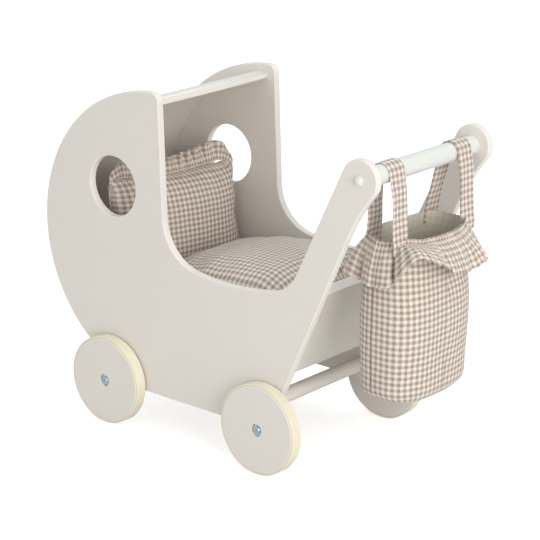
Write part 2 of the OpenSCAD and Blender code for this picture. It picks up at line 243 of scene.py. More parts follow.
def makeWeaveGroup():
    # plain weave of coloured warp and weft stripes, laid out by the cloth's own coordinates in metres
    group, start, end = newGroup("stripedWeave", [
        ("Light", "NodeSocketColor", (0.9, 0.9, 0.9, 1)), ("Dark", "NodeSocketColor", (0.4, 0.4, 0.4, 1)),
        ("Blush", "NodeSocketColor", (0.5, 0.4, 0.4, 1)), ("Repeat", "NodeSocketFloat", 0.01),
        ("Yarn", "NodeSocketFloat", 0.0006), ("Drift", "NodeSocketFloat", 0.0004)],
        [("Color", "NodeSocketColor"), ("Roughness", "NodeSocketFloat"), ("Height", "NodeSocketFloat")])
    w = Wire(group)
    cloth = w.put("UVMap", uv_map="cloth").outputs["UV"]
    split = w.put("SeparateXYZ")
    w.join(cloth, split.inputs[0])
    wander = w.noise(cloth, 38.0, 2.0, 0.5)
    shift = w.sum("MULTIPLY", w.sum("SUBTRACT", wander, 0.5), w.sum("MULTIPLY", start.outputs["Drift"], 4.0))
    u = w.sum("ADD", split.outputs["X"], shift)
    v = w.sum("SUBTRACT", split.outputs["Y"], shift)

    def stripe(x):
        turn = w.sum("MULTIPLY", w.sum("DIVIDE", x, start.outputs["Repeat"]), 2 * pi)
        return w.span(w.sum("SINE", turn), -0.28, 0.28, 0.0, 1.0, True)

    def yarn(x):
        return w.sum("SINE", w.sum("MULTIPLY", w.sum("DIVIDE", x, start.outputs["Yarn"]), pi))

    warp, weft = yarn(u), yarn(v)
    over = w.span(w.sum("MULTIPLY", warp, weft), -0.35, 0.35, 0.0, 1.0, True)
    tint = w.span(w.noise(cloth, 55.0, 1.0, 0.5), 0.50, 0.66, 0.0, 0.75, True)
    dark = w.blend(tint, start.outputs["Dark"], start.outputs["Blush"])
    warpColour = w.blend(stripe(u), start.outputs["Light"], dark)
    weftColour = w.blend(stripe(v), start.outputs["Light"], dark)
    colour = w.blend(over, weftColour, warpColour)
    slub = w.noise(cloth, 700.0, 2.0, 0.6)
    dulled = w.blend(1.0, colour, (0.62, 0.60, 0.58, 1), "MULTIPLY")
    colour = w.blend(w.span(slub, 0.35, 0.75, 0.0, 0.22), colour, dulled)
    w.join(colour, end.inputs["Color"])
    w.join(w.span(slub, 0.3, 0.7, 0.82, 0.98), end.inputs["Roughness"])
    threads = w.sum("MAXIMUM", w.sum("ABSOLUTE", warp), w.sum("ABSOLUTE", weft))
    crumple = w.noise(cloth, 90.0, 3.0, 0.55)
    height = w.sum("ADD", w.sum("MULTIPLY", threads, 0.12), w.sum("MULTIPLY", slub, 0.10))
    w.join(w.sum("ADD", height, w.sum("MULTIPLY", crumple, 1.0)), end.inputs["Height"])
    return group


def makeGrainGroup():
    # mottling for metal, rubber, nylon and bare wood
    group, start, end = newGroup("fineMottle", [
        ("Base", "NodeSocketColor", (0.8, 0.8, 0.8, 1)), ("Fleck", "NodeSocketColor", (0.7, 0.7, 0.7, 1)),
        ("Scale", "NodeSocketFloat", 300.0), ("Stretch", "NodeSocketFloat", 1.0),
        ("Gloss", "NodeSocketFloat", 0.5), ("Gloss Spread", "NodeSocketFloat", 0.1)],
        [("Color", "NodeSocketColor"), ("Roughness", "NodeSocketFloat"), ("Height", "NodeSocketFloat")])
    w = Wire(group)
    scaled = w.put("VectorMath", operation="MULTIPLY")
    w.join(w.put("TexCoord").outputs["Object"], scaled.inputs[0])
    stretch = w.put("CombineXYZ")
    stretch.inputs[0].default_value = 1.0
    w.join(start.outputs["Stretch"], stretch.inputs[1])
    stretch.inputs[2].default_value = 1.0
    w.join(stretch.outputs[0], scaled.inputs[1])
    grain = w.noise(scaled.outputs[0], start.outputs["Scale"], 4.0, 0.6)
    cloud = w.noise(scaled.outputs[0], w.sum("MULTIPLY", start.outputs["Scale"], 0.12), 2.0, 0.5)
    mask = w.span(w.sum("ADD", w.sum("MULTIPLY", grain, 0.6), w.sum("MULTIPLY", cloud, 0.4)), 0.35, 0.65)
    w.join(w.blend(mask, start.outputs["Base"], start.outputs["Fleck"]), end.inputs["Color"])
    rough = w.sum("MULTIPLY_ADD", w.sum("SUBTRACT", grain, 0.5), start.outputs["Gloss Spread"],
                  start.outputs["Gloss"])
    w.join(rough, end.inputs["Roughness"])
    w.join(grain, end.inputs["Height"])
    return group


paintGroup = makePaintGroup()
weaveGroup = makeWeaveGroup()
grainGroup = makeGrainGroup()


def finishFrom(name, group, values, bump, constants=None):
    # one material whose colour, roughness and bump come from a group
    mat = bpy.data.materials.new(name)
    mat.use_nodes = True
    w = Wire(mat.node_tree)
    shader = mat.node_tree.nodes["Principled BSDF"]
    source = w.put("Group", node_tree=group)
    for key, value in values.items():
        source.inputs[key].default_value = (*value, 1) if isinstance(value, tuple) else value
    bumpNode = w.put("Bump")
    bumpNode.inputs["Strength"].default_value = bump[0]
    bumpNode.inputs["Distance"].default_value = bump[1]
    w.join(source.outputs["Color"], shader.inputs["Base Color"])
    w.join(source.outputs["Roughness"], shader.inputs["Roughness"])
    w.join(source.outputs["Height"], bumpNode.inputs["Height"])
    w.join(bumpNode.outputs["Normal"], shader.inputs["Normal"])
    for key, value in (constants or {}).items():
        shader.inputs[key].default_value = value
    return mat


# the last, lighter tone of each paint is a painted highlight on the eased edges, with a little wear
creamPaint = {"Base": (0.800, 0.755, 0.705), "Shade": (0.770, 0.722, 0.668), "Edge Highlight And Wear": (0.86, 0.84, 0.80)}
barPaintTones = {"Base": (0.735, 0.745, 0.715), "Shade": (0.705, 0.715, 0.68), "Edge Highlight And Wear": (0.77, 0.775, 0.74)}
ginghamTones = {"Light": (0.79, 0.735, 0.66), "Dark": (0.365, 0.275, 0.235), "Blush": (0.43, 0.275, 0.25)}
clothConstants = {"Sheen Weight": 0.25, "Sheen Roughness": 0.5, "Specular IOR Level": 0.15}
paintConstants = {"Specular IOR Level": 0.38, "Coat Weight": 0.06, "Coat Roughness": 0.35}

finishes = {
    "panelPaint": finishFrom("panelPaint", paintGroup, creamPaint, (0.22, 0.0004), paintConstants),
    "boardPaint": finishFrom("boardPaint", paintGroup, {**creamPaint, "Gloss": 0.46}, (0.25, 0.0004),
                             paintConstants),
    "hoodPaint": finishFrom("hoodPaint", paintGroup, {**creamPaint, "Gloss": 0.5, "Pore Scale": 700.0},
                            (0.28, 0.0004), paintConstants),
    "barPaint": finishFrom("barPaint", paintGroup, {**barPaintTones, "Gloss": 0.36}, (0.18, 0.0004),
                           paintConstants),
    "wheelPaint": finishFrom("wheelPaint", paintGroup, {**creamPaint, "Gloss": 0.44}, (0.25, 0.0004),
                             paintConstants),
    "creamRubber": finishFrom("creamRubber", grainGroup, {
        "Base": (0.86, 0.80, 0.64), "Fleck": (0.83, 0.765, 0.60), "Scale": 420.0, "Gloss": 0.62,
        "Gloss Spread": 0.2}, (0.3, 0.0003), {"Specular IOR Level": 0.35}),
    "zincPlate": finishFrom("zincPlate", grainGroup, {"Base": (0.50, 0.62, 0.70), "Fleck": (0.62, 0.70, 0.74),
        "Scale": 900.0, "Gloss": 0.30, "Gloss Spread": 0.25}, (0.2, 0.0001), {"Metallic": 1.0}),
    "nylonWhite": finishFrom("nylonWhite", grainGroup, {
        "Base": (0.80, 0.80, 0.77), "Fleck": (0.76, 0.76, 0.73), "Scale": 500.0,
        "Gloss": 0.4}, (0.15, 0.0002)),
    "beechWood": finishFrom("beechWood", grainGroup, {"Base": (0.62, 0.43, 0.25), "Fleck": (0.50, 0.33, 0.18),
        "Scale": 420.0, "Stretch": 0.08, "Gloss": 0.6}, (0.3, 0.0003)),
    "gingham": finishFrom("gingham", weaveGroup, {**ginghamTones, "Repeat": 0.0088}, (0.55, 0.0012),
                          clothConstants),
    "seamCloth": finishFrom("seamCloth", weaveGroup, {"Light": (0.36, 0.25, 0.22), "Dark": (0.30, 0.20, 0.17),
        "Blush": (0.33, 0.19, 0.18), "Repeat": 0.0088}, (0.4, 0.0006), clothConstants),
    "liningCloth": finishFrom("liningCloth", weaveGroup, {
        "Light": (0.66, 0.61, 0.53), "Dark": (0.60, 0.55, 0.47), "Blush": (0.60, 0.55, 0.47),
        "Yarn": 0.0008}, (0.5, 0.0012), clothConstants),
    "mattressCover": finishFrom("mattressCover", weaveGroup, {
        "Light": (0.80, 0.76, 0.68), "Dark": (0.76, 0.72, 0.64), "Blush": (0.76, 0.72, 0.64),
        "Yarn": 0.0009}, (0.5, 0.0012), clothConstants),
}


def dress(finish, *names):
    for name in names:
        for place in nodes[name].material_slots:
            place.link = "OBJECT"
            place.material = finishes[finish]


dress("hoodPaint", "hood_shell")
dress("boardPaint", "base_board", "cross_dowel")
dress("barPaint", "handlebar", "handlebar_caps")
dress("beechWood", "hood_rail_pins", "base_board_pins", "end_panel_pins")
dress("zincPlate", "handlebar_screws", "cross_dowel_screws", "axle_inserts", "axle_screws", "axle_sleeves",
      "axle_washers")
for corner in ("hood_right", "hood_left", "handle_right", "handle_left"):
    dress("nylonWhite", "wheel_bush_" + corner)
    dress("creamRubber", "tyre_" + corner)
print("materials made")


# ---- mesh helpers

def link(mesh, name, finish, body, replaced=(), smooth=True):
    piece = bpy.data.objects.new(name, mesh)
    scene.collection.objects.link(piece)
    mesh.materials.clear()
    mesh.materials.append(finishes[finish])
    if smooth:
        mesh.shade_smooth()
    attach(piece, body)
    if replaced:
        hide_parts(*replaced)
    return piece


def gridFaces(rows, columns, closed=False, first=0):
    # quads of a grid of points, row by row; closed joins the last column to the first
    faces = []
    for i in range(rows - 1):
        for j in range(columns if closed else columns - 1):
            k = (j + 1) % columns
            faces.append((first + i * columns + j, first + i * columns + k,
                          first + (i + 1) * columns + k, first + (i + 1) * columns + j))
    return faces


def clothMesh(name, points, faces, cloth, wrapU=None):
    # mesh with the cloth's own flat coordinates in metres; wrapU mends the faces that cross the closing seam
    mesh = bpy.data.meshes.new(name)
    mesh.from_pydata([tuple(p) for p in points], [], faces)
    layer = mesh.uv_layers.new(name="cloth")
    for polygon in mesh.polygons:
        spots = [cloth[mesh.loops[i].vertex_index] for i in polygon.loop_indices]
        wide = wrapU and max(s[0] for s in spots) - min(s[0] for s in spots) > wrapU / 2
        for i, s in zip(polygon.loop_indices, spots):
            layer.data[i].uv = (s[0] + wrapU if wide and s[0] < wrapU / 2 else s[0], s[1])
    mesh.update()
    return mesh


def thicken(piece, depth, offset=0.0):
    shell = piece.modifiers.new("thickness", "SOLIDIFY")
    shell.thickness = depth
    shell.offset = offset
    shell.use_rim = True


def refine(piece, levels=1):
    finer = piece.modifiers.new("finer", "SUBSURF")
    finer.levels = finer.render_levels = levels
    finer.boundary_smooth = "PRESERVE_CORNERS"


def smoothStep(x, low, high):
    t = min(1.0, max(0.0, (x - low) / (high - low)))
    return t * t * (3 - 2 * t)


def curve(x, table):
    # smooth value at x through a short list of (x, value) pairs
    if x <= table[0][0]:
        return table[0][1]
    for (x0, y0), (x1, y1) in zip(table, table[1:]):
        if x <= x1:
            return y0 + (y1 - y0) * smoothStep(x, x0, x1)
    return table[-1][1]


def puff(piece, pressure, cap, shrink=0.0, frames=20):
    # swells a sewn cloth form with pressure, then limits how far each point has moved
    mesh = piece.data
    count = len(mesh.vertices)
    start = np.empty(count * 3)
    mesh.vertices.foreach_get("co", start)
    sim = piece.modifiers.new("puff", "CLOTH")
    s = sim.settings
    s.quality = 6
    s.mass = 0.2
    s.tension_stiffness = s.compression_stiffness = 12
    s.shear_stiffness = 5
    s.bending_stiffness = 0.15
    s.use_pressure = True
    s.uniform_pressure_force = pressure
    s.shrink_min = shrink
    s.effector_weights.gravity = 0
    sim.point_cache.frame_start, sim.point_cache.frame_end = 1, frames
    for f in range(1, frames + 1):
        scene.frame_set(f)
    shaped = piece.evaluated_get(bpy.context.evaluated_depsgraph_get()).to_mesh()
    end = np.empty(count * 3)
    shaped.vertices.foreach_get("co", end)
    move = (end - start).reshape(-1, 3)
    far = np.linalg.norm(move, axis=1, keepdims=True)
    move *= cap * np.tanh(far / cap) / np.maximum(far, 1e-9)
    piece.modifiers.remove(sim)
    scene.frame_set(1)
    mesh.vertices.foreach_set("co", (start + move.ravel()))
    mesh.update()
    print("swelled", piece.name, "by up to %.1f mm" % (1000 * float(np.linalg.norm(move, axis=1).max())))


# ---- boards with eased edges

def easedBoard(nodeName, finish, ease, body="pram", smallest=0.025, segments=3):
    # copy of a board with its long sharp edges rounded over; small holes keep their edges
    mesh = nodes[nodeName].data.copy()
    bm = bmesh.new()
    bm.from_mesh(mesh)
    bmesh.ops.remove_doubles(bm, verts=bm.verts, dist=2e-6)
    bmesh.ops.dissolve_limit(bm, angle_limit=radians(0.15), use_dissolve_boundaries=False,
                             verts=bm.verts, edges=bm.edges, delimit=set())
    sharp = {e for e in bm.edges if len(e.link_faces) == 2 and e.calc_face_angle(0) > radians(40)}
    chosen = []
    while sharp:
        loop, queue = [], [sharp.pop()]
        while queue:
            e = queue.pop()
            loop.append(e)
            for v in e.verts:
                for n in v.link_edges:
                    if n in sharp:
                        sharp.discard(n)
                        queue.append(n)
        spots = np.array([v.co for e in loop for v in e.verts])
        if (spots.max(0) - spots.min(0)).max() > smallest:
            chosen += loop
    bmesh.ops.bevel(bm, geom=chosen, offset=ease, offset_type="OFFSET", segments=segments, profile=0.5,
                    affect="EDGES", clamp_overlap=True)
    bm.to_mesh(mesh)
    bm.free()
    piece = link(mesh, nodeName + "_board", finish, body, (nodeName,))
    edgeHighlightAndWear = mesh.attributes.new("edgeHighlightAndWear", "FLOAT", "FACE")    # 1 on the narrow faces of the eased edges, which the paint lightens as a painted highlight with a little wear
    for polygon in mesh.polygons:
        edgeHighlightAndWear.data[polygon.index].value = float(polygon.area < 0.00012)
        polygon.use_smooth = polygon.area < 0.001
    even = piece.modifiers.new("even", "WEIGHTED_NORMAL")
    even.keep_sharp = True
    even.weight = 80
    return piece


for side in ("right", "left"):
    easedBoard("side_panel_" + side, "panelPaint", 0.0018)
easedBoard("end_panel", "boardPaint", 0.0008)
easedBoard("hood_rail", "boardPaint", 0.0004)
for corner in ("hood_right", "hood_left", "handle_right", "handle_left"):
    easedBoard("wheel_disc_" + corner, "wheelPaint", 0.0004, "wheel_" + corner, 0.015, 2)
print("boards eased")


# ---- mattress and duvet

mattress = {
    "corner": 0.016,    # radius of the corners in plan
    "edge": 0.007,      # rounding of the top and bottom edges
    "dip": 0.003,
}


def roundedPlan(x0, x1, y0, y1, r, perCorner=8, perSide=14):
    # evenly walked rounded rectangle, anticlockwise, with distance along it
    centres = [((x1 - r, y1 - r), 0), ((x0 + r, y1 - r), 90),
               ((x0 + r, y0 + r), 180), ((x1 - r, y0 + r), 270)]
    points = []
    for (cx, cy), turn in centres:
        for i in range(perCorner + 1):
            a = radians(turn + 90 * i / perCorner)
            points.append((cx + r * cos(a), cy + r * sin(a)))
        last = points[-1]
        (nx, ny), nextTurn = centres[(centres.index(((cx, cy), turn)) + 1) % 4]
        a = radians(nextTurn)
        goal = (nx + r * cos(a), ny + r * sin(a))
        for i in range(1, perSide):
            share = i / perSide
            points.append((last[0] + (goal[0] - last[0]) * share, last[1] + (goal[1] - last[1]) * share))
    return points


def makeMattress(m):
    low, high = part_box("mattress")
    plan = roundedPlan(low[0], high[0], low[1], high[1], m["corner"])
    cx, cy = (low[0] + high[0]) / 2, (low[1] + high[1]) / 2
    e, top, bottom = m["edge"], high[2], low[2]
    rows = [(0.0, bottom, 0), (0.5, bottom, 0), (0.9, bottom, 0)]
    rows += [(1.0, bottom + e * (1 - cos(t * pi / 2 / 4)), e * (1 - sin(t * pi / 2 / 4))) for t in range(5)]
    for piping in (bottom + e + 0.0055, top - e - 0.0055):    # a raised cord round each edge
        rows += [(1.0, piping - 0.0015, 0.0), (1.0, piping, -0.0016), (1.0, piping + 0.0015, 0.0)]
    rows += [(1.0, top - e * (1 - sin(t * pi / 2 / 4)), e * (1 - cos(t * pi / 2 / 4))) for t in range(5)]
    rows += [(0.9, top - 0.0005, 0), (0.6, top - m["dip"] * 0.6, 0),
             (0.3, top - m["dip"], 0), (0.0, top - m["dip"], 0)]
    points, cloth, along = [], [], 0.0
    for scale, z, inset in rows:
        along += 0.008 if scale == 1.0 else 0.05
        walked = 0.0
        for i, (x, y) in enumerate(plan):
            far = max(1e-6, hypot(x - cx, y - cy))
            k = scale * (1 - inset / far)
            points.append((cx + (x - cx) * k, cy + (y - cy) * k, z))
            walked += hypot(x - plan[i - 1][0], y - plan[i - 1][1])
            flat = scale < 1.0
            cloth.append((points[-1][0], points[-1][1]) if flat else (walked, along))
    mesh = clothMesh("mattress_cover", points, gridFaces(len(rows), len(plan), True), cloth)
    piece = link(mesh, "mattress_cover", "mattressCover", "pram", ("mattress",))
    refine(piece)


makeMattress(mattress)

duvet = {
    "crown": [(-0.117, 0.214), (-0.100, 0.236), (-0.079, 0.250), (-0.040, 0.265), (0.010, 0.275),
              (0.060, 0.280), (0.110, 0.281), (0.135, 0.275), (0.152, 0.262), (0.160, 0.246)],
    "under": 0.1850,
    "halfWidth": 0.1195,
    "drop": 0.019,        # fall of the top from the middle to the long edges
    "wrinkle": 0.0016,
    "across": 56,
    "length": 66,
}


def makeDuvet(d):
    x0, x1 = d["crown"][0][0], d["crown"][-1][0]
    nu, nv = d["length"], d["across"]
    points, cloth, index = [], [], {}
    for face in (1, -1):
        for i in range(nu + 1):
            s = i / nu
            for j in range(nv + 1):
                t = 2 * j / nv - 1
                rim = i in (0, nu) or j in (0, nv)
                if face < 0 and rim:
                    continue
                roll = (1 - abs(2 * s - 1) ** 9) ** 0.5 * (1 - abs(t) ** 9) ** 0.5
                x = x0 + (x1 - x0) * s
                y = d["halfWidth"] * t
                crest = curve(x, d["crown"]) - d["drop"] * abs(t) ** 2.6
                seam = d["under"] + (crest - d["under"]) * 0.42
                if face > 0:
                    z = seam + (crest - seam) * roll
                    z += d["wrinkle"] * roll * noise.fractal((x * 22, y * 26, 3.1), 0.8, 2.0, 3)
                else:
                    z = seam - (seam - d["under"]) * roll
                    lean = max(0.0, x - 0.139)    # keeps clear of the sloping end board
                    x -= lean * 1.15 * (1 - (z - d["under"]) / 0.10) if lean else 0.0
                index[(face, i, j)] = len(points)
                points.append((x, y, z))
                cloth.append((0.2 + s * (x1 - x0) * 1.06,
                              0.3 + t * d["halfWidth"] * 1.08 + (0 if face > 0 else 0.35)))
    for i in range(nu + 1):
        for j in range(nv + 1):
            index.setdefault((-1, i, j), index[(1, i, j)])
    faces = []
    for face in (1, -1):
        for i in range(nu):
            for j in range(nv):
                quad = [index[(face, i, j)], index[(face, i + 1, j)],
                        index[(face, i + 1, j + 1)], index[(face, i, j + 1)]]
                faces.append(quad if face > 0 else quad[::-1])
    mesh = clothMesh("duvet_cover", points, faces, cloth)
    piece = link(mesh, "duvet_cover", "gingham", "pram", ("duvet",))
    puff(piece, 2.5, 0.004, -0.02)
    refine(piece)


makeDuvet(duvet)
print("duvet made")


# ---- pillow with its gathered frill

pillow = {
    "middle": -0.148,       # X of the seam round the pillow
    "turn": 0.20,           # how much nearer the handlebar the far end lies
    "lean": -0.10,          # slope of the seam back towards the hood as it rises
    "low": 0.186, "high": 0.367,
    "near": -0.114, "far": 0.114,
    "front": 0.036, "back": 0.034,
    "across": 60, "up": 48,
}


def seamX(p, y, z):
    return p["middle"] + p["turn"] * y + p["lean"] * (z - 0.27)


def makePillow(p):
    nu, nv = p["across"], p["up"]
    w, h = p["far"] - p["near"], p["high"] - p["low"]
    points, cloth, index = [], [], {}
    for face in (1, -1):
        for i in range(nu + 1):
            a = 2 * i / nu - 1
            for j in range(nv + 1):
                b = 2 * j / nv - 1
                if face < 0 and (i in (0, nu) or j in (0, nv)):
                    continue
                # sides pull in between the corners
                y = (p["near"] + p["far"]) / 2 + w / 2 * a * (1 - 0.035 * (1 - b * b) * abs(a) ** 3)
                z = (p["low"] + p["high"]) / 2 + h / 2 * b * (1 - 0.045 * (1 - a * a) * (b > 0))
                cornerCut = max(0.0, abs(a) ** 6 + abs(b) ** 6 - 1) * 0.10
                y -= cornerCut * a * 0.05
                z -= cornerCut * b * 0.05
                full = (1 - abs(a) ** 2.6) ** 0.52 * (1 - abs(b) ** 2.8) ** 0.48
                depth = (p["front"] if face > 0 else -p["back"]) * full
                edge = min(1 - abs(a), (1 - b) * h / w)    # closeness to the gathered seam
                along = y if b > abs(a) - 0.1 else z
                pleats = sin(2 * pi * along / 0.0105 + 2.2 * noise.noise((y * 60, z * 60, 1.7)))
                depth += face * 0.0016 * pleats * exp(-edge * w / 2 / 0.020) * (1 - exp(-edge * 60))
                depth += face * 0.0022 * full * noise.fractal((y * 17 + 4, z * 17, 5 * face), 0.8, 2.0, 2)
                index[(face, i, j)] = len(points)
                points.append((seamX(p, y, z) + depth, y, z))
                cloth.append((0.004 + 0.5 + y * 1.13, z * 1.12 + (0 if face > 0 else 0.5)))
    for i in range(nu + 1):
        for j in range(nv + 1):
            index.setdefault((-1, i, j), index[(1, i, j)])
    faces = []
    for face in (1, -1):
        for i in range(nu):
            for j in range(nv):
                quad = [index[(face, i, j)], index[(face, i + 1, j)],
                        index[(face, i + 1, j + 1)], index[(face, i, j + 1)]]
                faces.append(quad if face > 0 else quad[::-1])
    mesh = clothMesh("pillow_case", points, faces, cloth)
    piece = link(mesh, "pillow_case", "gingham", "pram", ("pillow",))
    puff(piece, 3.0, 0.005, -0.03)
    refine(piece)


def gatheredStrip(name, path, outward, side, width, wave, wavelength, gather, rows, seed):
    # frill sewn along a path: width and wave height are functions of the distance along, 0 to 1
    spots = [Vector(p) for p in path]
    walked = [0.0]
    for a, b in zip(spots, spots[1:]):
        walked.append(walked[-1] + (b - a).length)
    total = walked[-1]
    points, cloth = [], []
    count = len(spots)
    phases = []
    phase = 0.0
    for i in range(count):
        local = wavelength * (1 + 0.35 * noise.noise((walked[i] * 21, seed, 0)))
        phase += 2 * pi * ((walked[i] - walked[i - 1]) if i else 0) / local
        phases.append(phase)
    for r in range(rows + 1):
        t = r / rows
        for i in range(count):
            s = walked[i] / total
            wd, wv = width(s), wave(s)
            big = sin(phases[i]) + 0.35 * sin(2.1 * phases[i] + 1.3 * seed)
            small = sin(phases[i] * 2.6 + seed) * exp(-t * 6) * 0.35
            swing = wv * (t ** 1.15 * big + small * min(1, t * 8))
            reach = wd * t * (1 - 0.12 * t * abs(big) * (wv / max(wd, 1e-6)))
            spot = spots[i] + outward[i] * reach + side[i] * swing
            points.append(spot)
            cloth.append((seed + walked[i] * gather, 0.2 + t * wd * 1.02))
    mesh = clothMesh(name, points, gridFaces(rows + 1, count), cloth)
    return mesh, total * gather


def makePillowFrill(p):
    # round the far top corner, along the top and round the near corner
    yFar, yNear, r = p["far"] - 0.002, p["near"] + 0.002, 0.026
    top, low = p["high"] - 0.004, p["high"] - 0.046
    flat = []
    for i in range(16):
        flat.append((yFar, low + (top - r - low) * i / 16))
    for i in range(14):
        a = pi / 2 * i / 14
        flat.append((yFar - r + r * cos(a), top - r + r * sin(a)))
    for i in range(110):
        flat.append((yFar - r + (yNear + r - yFar + r) * i / 110, top - 0.006 * sin(pi * i / 110)))
    for i in range(14):
        a = pi / 2 + pi / 2 * i / 14
        flat.append((yNear + r + r * cos(a), top - r + r * sin(a)))
    for i in range(17):
        flat.append((yNear, top - r + (low - top + r) * i / 16))
    path = [(seamX(p, y, z), y, z) for y, z in flat]
    outward, side = [], []
    for i in range(len(path)):
        a, b = Vector(path[max(0, i - 1)]), Vector(path[min(len(path) - 1, i + 1)])
        run = (b - a).normalized()
        out = run.cross(Vector((1, 0, 0))).normalized()
        if out.dot(Vector(path[i]) - Vector((p["middle"], -0.004, 0.27))) < 0:
            out = -out
        upright = max(0.0, out.z)    # along the top it leans back, at the corners it turns up
        out = (out + Vector((-0.18, 0, 0)) * upright + Vector((0, 0, 1.1)) * (1 - upright)).normalized()
        outward.append(out)
        side.append(run.cross(out).normalized())

    def width(s):
        rise = smoothStep(s, 0.02, 0.19) * (1 - smoothStep(s, 0.80, 0.93))
        return 0.0010 + 0.0250 * rise + 0.007 * smoothStep(s, 0.12, 0.22) * (1 - smoothStep(s, 0.25, 0.5))

    def wave(s):
        rise = smoothStep(s, 0.06, 0.26) * (1 - smoothStep(s, 0.76, 0.93))
        return 0.0006 + 0.0065 * rise

    mesh, length = gatheredStrip("pillow_frill", path, outward, side, width, wave, 0.019, 1.7, 10, 2.0)
    piece = link(mesh, "pillow_frill", "gingham", "pram", ("pillow_ruffle",))
    thicken(piece, 0.0007)
    refine(piece)


makePillow(pillow)
makePillowFrill(pillow)
print("pillow made")


# ---- bag: shell, lining, frill and straps

bag = {
    "middle": 0.3065,        # X of the bag's middle, under the handlebar
    "low": 0.127, "rim": 0.368,
    "depth": [(0.127, 0.0515), (0.24, 0.0520), (0.32, 0.0500), (0.370, 0.0475)],
    "width": [(0.127, 0.0850), (0.24, 0.0862), (0.370, 0.0852)],
    "square": [(0.127, 2.9), (0.27, 3.0), (0.370, 2.25)],    # how boxy each section is
    "floorCurve": 0.020,
    "around": 160,
    "sideSeam": -0.010,
    "fold": 0.0020,
}
frill = {
    # both tables run once round the rim, from the middle of the front past the right end
    "drop": [(0, 0.055), (0.14, 0.054), (0.165, 0.050), (0.192, 0.050), (0.21, 0.058), (0.30, 0.060),
             (0.40, 0.056), (1.0, 0.055)],
    # swing of the hem out from the wall, in radians; a low value is a fold that lies on the wall
    "swing": [(0, 0.55), (0.05, 0.65), (0.083, 1.0), (0.117, 1.22), (0.142, 1.38), (0.158, 1.50),
              (0.168, 1.42), (0.176, 1.15), (0.184, 0.92), (0.193, 0.60), (0.2005, 0.03), (0.209, 0.32),
              (0.225, 0.30), (0.25, 0.20), (0.275, 0.27), (0.287, 0.22), (0.2945, 0.02), (0.304, 0.34),
              (0.325, 0.50), (0.345, 0.36), (0.358, 0.04), (0.372, 0.30), (0.40, 0.50), (0.43, 0.06),
              (0.47, 0.46), (0.50, 0.10), (0.54, 0.52), (0.575, 0.07), (0.62, 0.46), (0.655, 0.08),
              (0.70, 0.55), (0.742, 0.04), (0.775, 0.52), (0.81, 0.20), (0.84, 0.45), (0.867, 0.60),
              (0.89, 0.68), (0.917, 0.72), (0.95, 0.55), (1.0, 0.55)],
    "below": 0.0065,         # how far under the rim it is sewn
    "header": 0.0050,
    "gather": 1.6,
}
straps = {
    "width": 0.033, "thick": 0.0022,
    "near": (-0.077, -0.071, -0.057),    # Y at the front foot, on the bar and at the back foot
    "far": (0.078, 0.085, 0.076),
    "rimFront": 0.029, "rimBack": -0.031,
    "barRadius": 0.0144,
    "tuck": 0.018,
}


welt = {
    "rows": 44,
    "sides": 8,
    "belowRim": 0.012,
    "halfWidth": 0.0010, "rise": 0.0007,
    "proud": 0.0009,         # how far its middle stands off the wall
}


def bagRing(z, count, grow=0.0):
    # evenly spaced points round one level, from the front middle towards the right side, with normals
    a, b, n = curve(z, bag["depth"]) + grow, curve(z, bag["width"]) + grow, curve(z, bag["square"])
    dense = []
    for i in range(721):
        t = -2 * pi * i / 720
        dense.append((a * abs(cos(t)) ** (2 / n) * (1 if cos(t) >= 0 else -1),
                      b * abs(sin(t)) ** (2 / n) * (1 if sin(t) >= 0 else -1)))
    dense = np.array(dense)
    step = np.hypot(*np.diff(dense, axis=0).T)
    walked = np.concatenate([[0], np.cumsum(step)])
    at = np.linspace(0, walked[-1], count, endpoint=False)
    xs, ys = np.interp(at, walked, dense[:, 0]), np.interp(at, walked, dense[:, 1])
    dx, dy = np.roll(xs, -1) - np.roll(xs, 1), np.roll(ys, -1) - np.roll(ys, 1)
    size = np.hypot(dx, dy)
    return xs, ys, -dy / size, dx / size, walked[-1]


def rimLift(x, y):
    # the straps hold the rim up at their feet and it sags between them
    near = exp(-((abs(y) - 0.072) / 0.022) ** 2)
    return -0.0025 + 0.0045 * near - 0.003 * exp(-(x / 0.02) ** 2) * (abs(y) > 0.05)


def bagPoint(x, y, nx, ny, z, s, grow=0.0):
    # adds soft folds and the sewn side seams to a point of the wall
    high = smoothStep(z, 0.265, 0.363)
    low = 1 - smoothStep(z, 0.14, 0.24)
    amount = bag["fold"] * (0.45 + 1.0 * high + 0.5 * low)
    ripple = noise.fractal((cos(s * 2 * pi) * 1.5, sin(s * 2 * pi) * 1.5, z * 7.0 + 2), 0.8, 2.0, 3)
    swell = 0.0022 * sin(pi * smoothStep(z, bag["low"], 0.345)) * (1 - high)
    out = amount * ripple + swell + grow
    groove = exp(-((x - bag["sideSeam"]) / 0.0016) ** 2) * (abs(y) > 0.05)
    out -= 0.0016 * groove
    return Vector((bag["middle"] + x + nx * out, y + ny * out, z))


